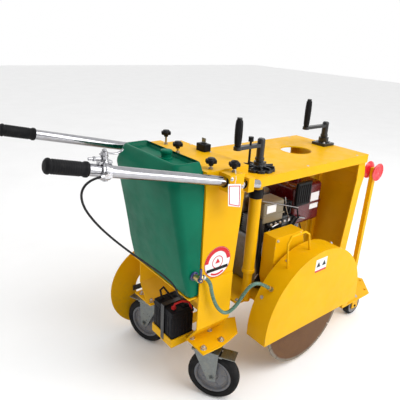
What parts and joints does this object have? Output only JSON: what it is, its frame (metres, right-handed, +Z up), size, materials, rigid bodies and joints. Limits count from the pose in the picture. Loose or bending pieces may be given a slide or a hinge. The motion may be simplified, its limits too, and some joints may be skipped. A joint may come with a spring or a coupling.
{
  "type": "walk-behind concrete saw",
  "caption": "Walk-behind floor saw with a guarded round blade, water tank, engine under a folded deck, crank height screws, caster wheels and a folding guide arm.",
  "frame": {"origin": "centre of the footprint box at floor level, cords left out", "axes": "+X forward, the way the saw cuts; +Y to the operator's left; +Z up"},
  "size_m": [1.6442, 0.636, 1.06],
  "materials": {
    "yellow_paint": "gloss powder coat",
    "ground_steel": "ground",
    "green_plastic": "rotomoulded polyethylene",
    "black_plastic": "moulded",
    "brass": "cast",
    "tap_blue": "dipped",
    "battery_black": "moulded",
    "black_steel": "satin black",
    "zinc": "zinc plated",
    "chrome_tube": "polished",
    "grip_rubber": "moulded",
    "cable_black": "sheath",
    "hose_clear": "translucent vinyl",
    "tyre_rubber": "solid rubber",
    "hub_grey": "satin",
    "cast_aluminium": "as cast",
    "dark_red": "gloss",
    "beige_paint": "satin",
    "muffler_steel": "heat stained",
    "cast_iron": "machined",
    "belt_rubber": "V belt",
    "blade_steel": "ground, rim darkened",
    "red_paint": "gloss"
  },
  "bodies": {
    "chassis": {"rear_arch": "yellow_paint", "caster_bracket_right": "yellow_paint", "caster_bracket_left": "yellow_paint", "base_frame": "yellow_paint", "top_deck": "yellow_paint", "front_panel": "yellow_paint", "guide_post": "ground_steel", "water_tank": "green_plastic", "tap_body": "brass", "battery": "battery_black", "side_disc": "yellow_paint", "disc_bracket": "black_steel", "switch_box": "black_plastic", "crank_base_rear": "black_steel", "crank_base_front": "black_steel", "throttle_cable": "cable_black", "water_hose": "hose_clear"},
    "saw_carriage": {"engine_platform": "yellow_paint", "engine_block": "cast_aluminium", "engine_cover": "black_steel", "engine_fuel_tank": "dark_red", "air_filter": "beige_paint", "muffler": "muffler_steel", "drive_belt": "belt_rubber", "belt_guard": "yellow_paint", "blade_guard": "yellow_paint", "guard_bail": "yellow_paint"},
    "engine_shaft": {"engine_pulley": "cast_iron"},
    "blade_spindle": {"arbor": "ground_steel", "saw_blade": "blade_steel"},
    "rear_crank": {"crank_rear": "black_steel"},
    "rear_crank_grip": {"crank_grip_rear": "black_plastic"},
    "plunger": {"lock_plunger": "black_plastic"},
    "front_crank": {"crank_front": "black_steel"},
    "front_crank_grip": {"crank_grip_front": "black_plastic"},
    "knob_a": {"arch_knob_a": "black_plastic"},
    "knob_b": {"arch_knob_b": "black_plastic"},
    "knob_c": {"arch_knob_c": "black_plastic"},
    "knob_clamp": {"clamp_knob": "black_plastic"},
    "right_handle": {"handle_tube_right": "chrome_tube", "handle_grip_right": "grip_rubber"},
    "left_handle": {"handle_tube_left": "chrome_tube", "handle_grip_left": "grip_rubber"},
    "lever": {"throttle_lever": "chrome_tube"},
    "cap": {"tank_cap": "green_plastic"},
    "tap_handle": {"tap_lever": "tap_blue"},
    "key": {"ignition_key": "zinc"},
    "right_caster": {"caster_fork_right": "zinc"},
    "left_caster": {"caster_fork_left": "zinc"},
    "right_caster_wheel": {"caster_tyre_right": "tyre_rubber", "caster_hub_right": "hub_grey"},
    "left_caster_wheel": {"caster_tyre_left": "tyre_rubber", "caster_hub_left": "hub_grey"},
    "right_pedal": {"brake_pedal_right": "zinc"},
    "left_pedal": {"brake_pedal_left": "zinc"},
    "front_axle": {"front_carriage": "yellow_paint"},
    "right_front_wheel": {"front_wheel_right": "tyre_rubber"},
    "left_front_wheel": {"front_wheel_left": "tyre_rubber"},
    "guide": {"guide_arm": "yellow_paint"},
    "guide_roller": {"guide_wheels": "red_paint"}
  },
  "joints": [
    {"name": "carriage_lift", "type": "slide", "parent": "chassis", "child": "saw_carriage", "axis": [0, 0, 1], "range_m": [-0.12, 0]},
    {"name": "rear_crank_turn", "type": "hinge", "parent": "chassis", "child": "rear_crank", "pos_m": [-0.02386, -0.133, 0.9], "axis": [0, 0, 1], "continuous": true},
    {"name": "rear_grip_turn", "type": "hinge", "parent": "rear_crank", "child": "rear_crank_grip", "pos_m": [-0.13686, -0.133, 0.99], "axis": [0, 0, 1], "continuous": true},
    {"name": "plunger_slide", "type": "slide", "parent": "rear_crank", "child": "plunger", "axis": [0, 0, 1], "range_m": [-0.007, 0]},
    {"name": "front_lift", "type": "slide", "parent": "chassis", "child": "front_axle", "axis": [0, 0, 1], "range_m": [-0.05, 0]},
    {"name": "front_crank_turn", "type": "hinge", "parent": "chassis", "child": "front_crank", "pos_m": [0.52314, 0.002, 0.9], "axis": [0, 0, 1], "continuous": true},
    {"name": "front_grip_turn", "type": "hinge", "parent": "front_crank", "child": "front_crank_grip", "pos_m": [0.38614, 0.002, 1], "axis": [0, 0, 1], "continuous": true},
    {"name": "blade_spin", "type": "hinge", "parent": "saw_carriage", "child": "blade_spindle", "pos_m": [0.18314, -0.283, 0.24], "axis": [0, 1, 0], "continuous": true},
    {"name": "engine_shaft_turn", "type": "hinge", "parent": "saw_carriage", "child": "engine_shaft", "pos_m": [0.10814, -0.176, 0.5], "axis": [0, 1, 0], "continuous": true},
    {"name": "right_handle_slide", "type": "slide", "parent": "chassis", "child": "right_handle", "axis": [0.9736, 0, -0.2284], "range_m": [0, 0.15]},
    {"name": "left_handle_slide", "type": "slide", "parent": "chassis", "child": "left_handle", "axis": [0.9736, 0, -0.2284], "range_m": [0, 0.15]},
    {"name": "throttle_turn", "type": "hinge", "parent": "right_handle", "child": "lever", "pos_m": [-0.66986, -0.224, 1.011], "axis": [0, 0, 1], "range_deg": [0, 40], "stiffness_Nm_per_rad": 0.6},
    {"name": "knob_a_turn", "type": "hinge", "parent": "chassis", "child": "knob_a", "pos_m": [-0.23186, 0.157, 0.91], "axis": [0, 0, 1], "range_deg": [0, 360]},
    {"name": "knob_b_turn", "type": "hinge", "parent": "chassis", "child": "knob_b", "pos_m": [-0.26386, 0.035, 0.91], "axis": [0, 0, 1], "range_deg": [0, 360]},
    {"name": "knob_c_turn", "type": "hinge", "parent": "chassis", "child": "knob_c", "pos_m": [-0.28286, -0.173, 0.91], "axis": [0, 0, 1], "range_deg": [0, 360]},
    {"name": "clamp_knob_turn", "type": "hinge", "parent": "chassis", "child": "knob_clamp", "pos_m": [-0.22986, -0.224, 0.91], "axis": [0, 0, 1], "range_deg": [0, 360]},
    {"name": "tank_cap_turn", "type": "hinge", "parent": "chassis", "child": "cap", "pos_m": [-0.35386, -0.028, 0.932], "axis": [0, 0, 1], "range_deg": [0, 90]},
    {"name": "tap_turn", "type": "hinge", "parent": "chassis", "child": "tap_handle", "pos_m": [-0.34586, -0.23, 0.545], "axis": [0, 1, 0], "range_deg": [0, 90]},
    {"name": "key_turn", "type": "hinge", "parent": "chassis", "child": "key", "pos_m": [-0.16086, 0.019, 0.93], "axis": [0, 0, 1], "range_deg": [0, 60]},
    {"name": "right_caster_swivel", "type": "hinge", "parent": "chassis", "child": "right_caster", "pos_m": [-0.26186, -0.184, 0.224], "axis": [0, 0, 1], "continuous": true},
    {"name": "right_caster_roll", "type": "hinge", "parent": "right_caster", "child": "right_caster_wheel", "pos_m": [-0.24182, -0.2151, 0.1], "axis": [0.8406, 0.5417, 0], "continuous": true},
    {"name": "right_brake_pedal", "type": "hinge", "parent": "right_caster", "child": "right_pedal", "pos_m": [-0.23477, -0.22603, 0.1985], "axis": [0.8406, 0.5417, 0], "range_deg": [0, 8]},
    {"name": "left_caster_swivel", "type": "hinge", "parent": "chassis", "child": "left_caster", "pos_m": [-0.26186, 0.168, 0.224], "axis": [0, 0, 1], "continuous": true},
    {"name": "left_caster_roll", "type": "hinge", "parent": "left_caster", "child": "left_caster_wheel", "pos_m": [-0.27451, 0.20277, 0.1], "axis": [-0.9397, -0.342, 0], "continuous": true},
    {"name": "left_brake_pedal", "type": "hinge", "parent": "left_caster", "child": "left_pedal", "pos_m": [-0.27896, 0.21499, 0.1985], "axis": [-0.9397, -0.342, 0], "range_deg": [0, 8]},
    {"name": "right_front_roll", "type": "hinge", "parent": "front_axle", "child": "right_front_wheel", "pos_m": [0.68014, -0.2, 0.052], "axis": [0, 1, 0], "continuous": true},
    {"name": "left_front_roll", "type": "hinge", "parent": "front_axle", "child": "left_front_wheel", "pos_m": [0.68014, 0.184, 0.052], "axis": [0, 1, 0], "continuous": true},
    {"name": "guide_fold", "type": "hinge", "parent": "front_axle", "child": "guide", "pos_m": [0.63814, -0.203, 0.18], "axis": [0, 1, 0], "range_deg": [0, 90]},
    {"name": "guide_roller_turn", "type": "hinge", "parent": "guide", "child": "guide_roller", "pos_m": [0.63814, -0.203, 0.763], "axis": [0, 1, 0], "continuous": true}
  ],
  "couplings": [
    {"joint": "rear_crank_turn", "follows": "carriage_lift", "rad_per_m": -628.32},
    {"joint": "front_crank_turn", "follows": "front_lift", "rad_per_m": -628.32},
    {"joint": "engine_shaft_turn", "follows": "blade_spin", "ratio": 0.91379}
  ]
}
